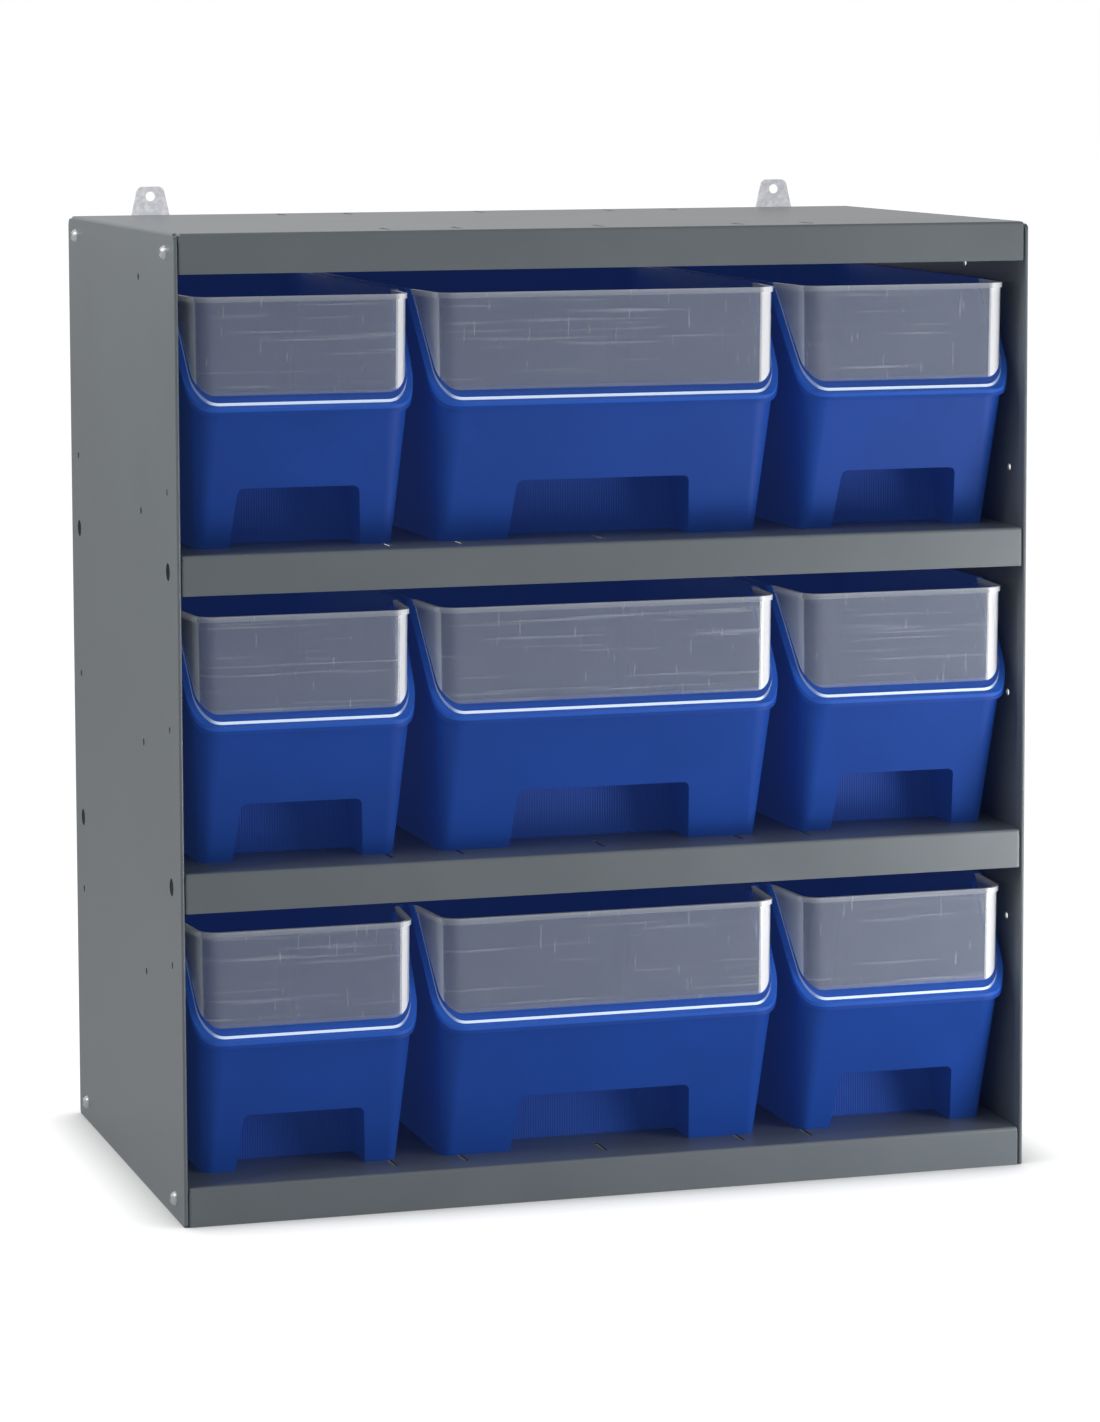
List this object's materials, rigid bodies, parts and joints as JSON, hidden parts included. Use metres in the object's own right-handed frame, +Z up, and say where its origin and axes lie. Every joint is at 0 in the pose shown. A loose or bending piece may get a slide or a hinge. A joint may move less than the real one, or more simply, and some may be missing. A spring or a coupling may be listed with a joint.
{
  "type": "bin rack",
  "caption": "Steel wall rack with shelves that carry pull-out plastic bins, each with a clear front window and a finger notch.",
  "frame": {"origin": "middle of the rack's footprint, on the surface that it stands on", "axes": "+Z up, +Y to the back of the rack (the wall), +X to the right as seen from the front"},
  "size_m": [0.6566, 0.39, 0.7383],
  "materials": {
    "panels": "grey powder coat, fine texture",
    "shelves": "grey powder coat, fine texture",
    "zinc_plate": "zinc plated steel",
    "fasteners": "bright zinc plated steel",
    "bin_plastic": "moulded polypropylene, satin",
    "window_plastic": "clear moulded plastic, polished"
  },
  "bodies": {
    "rack": {"side_panel_left": "panels", "side_panel_right": "panels", "shelf_top": "shelves", "shelf_upper": "shelves", "shelf_lower": "shelves", "shelf_bottom": "shelves", "hanging_lug_left": "zinc_plate", "hanging_lug_right": "zinc_plate", "lug_rivets": "fasteners", "corner_bolts": "fasteners", "corner_nuts": "fasteners"},
    "unit_top_left": {"bin_top_left": "bin_plastic", "window_top_left": "window_plastic"},
    "unit_top_middle": {"bin_top_middle": "bin_plastic", "window_top_middle": "window_plastic"},
    "unit_top_right": {"bin_top_right": "bin_plastic", "window_top_right": "window_plastic"},
    "unit_middle_left": {"bin_middle_left": "bin_plastic", "window_middle_left": "window_plastic"},
    "unit_middle_middle": {"bin_middle_middle": "bin_plastic", "window_middle_middle": "window_plastic"},
    "unit_middle_right": {"bin_middle_right": "bin_plastic", "window_middle_right": "window_plastic"},
    "unit_bottom_left": {"bin_bottom_left": "bin_plastic", "window_bottom_left": "window_plastic"},
    "unit_bottom_middle": {"bin_bottom_middle": "bin_plastic", "window_bottom_middle": "window_plastic"},
    "unit_bottom_right": {"bin_bottom_right": "bin_plastic", "window_bottom_right": "window_plastic"}
  },
  "joints": [
    {"name": "slide_top_left", "type": "slide", "parent": "rack", "child": "unit_top_left", "axis": [0, -1, 0], "range_m": [0, 0.4]},
    {"name": "slide_top_middle", "type": "slide", "parent": "rack", "child": "unit_top_middle", "axis": [0, -1, 0], "range_m": [0, 0.4]},
    {"name": "slide_top_right", "type": "slide", "parent": "rack", "child": "unit_top_right", "axis": [0, -1, 0], "range_m": [0, 0.4]},
    {"name": "slide_middle_left", "type": "slide", "parent": "rack", "child": "unit_middle_left", "axis": [0, -1, 0], "range_m": [0, 0.4]},
    {"name": "slide_middle_middle", "type": "slide", "parent": "rack", "child": "unit_middle_middle", "axis": [0, -1, 0], "range_m": [0, 0.4]},
    {"name": "slide_middle_right", "type": "slide", "parent": "rack", "child": "unit_middle_right", "axis": [0, -1, 0], "range_m": [0, 0.4]},
    {"name": "slide_bottom_left", "type": "slide", "parent": "rack", "child": "unit_bottom_left", "axis": [0, -1, 0], "range_m": [0, 0.4]},
    {"name": "slide_bottom_middle", "type": "slide", "parent": "rack", "child": "unit_bottom_middle", "axis": [0, -1, 0], "range_m": [0, 0.4]},
    {"name": "slide_bottom_right", "type": "slide", "parent": "rack", "child": "unit_bottom_right", "axis": [0, -1, 0], "range_m": [0, 0.4]}
  ]
}
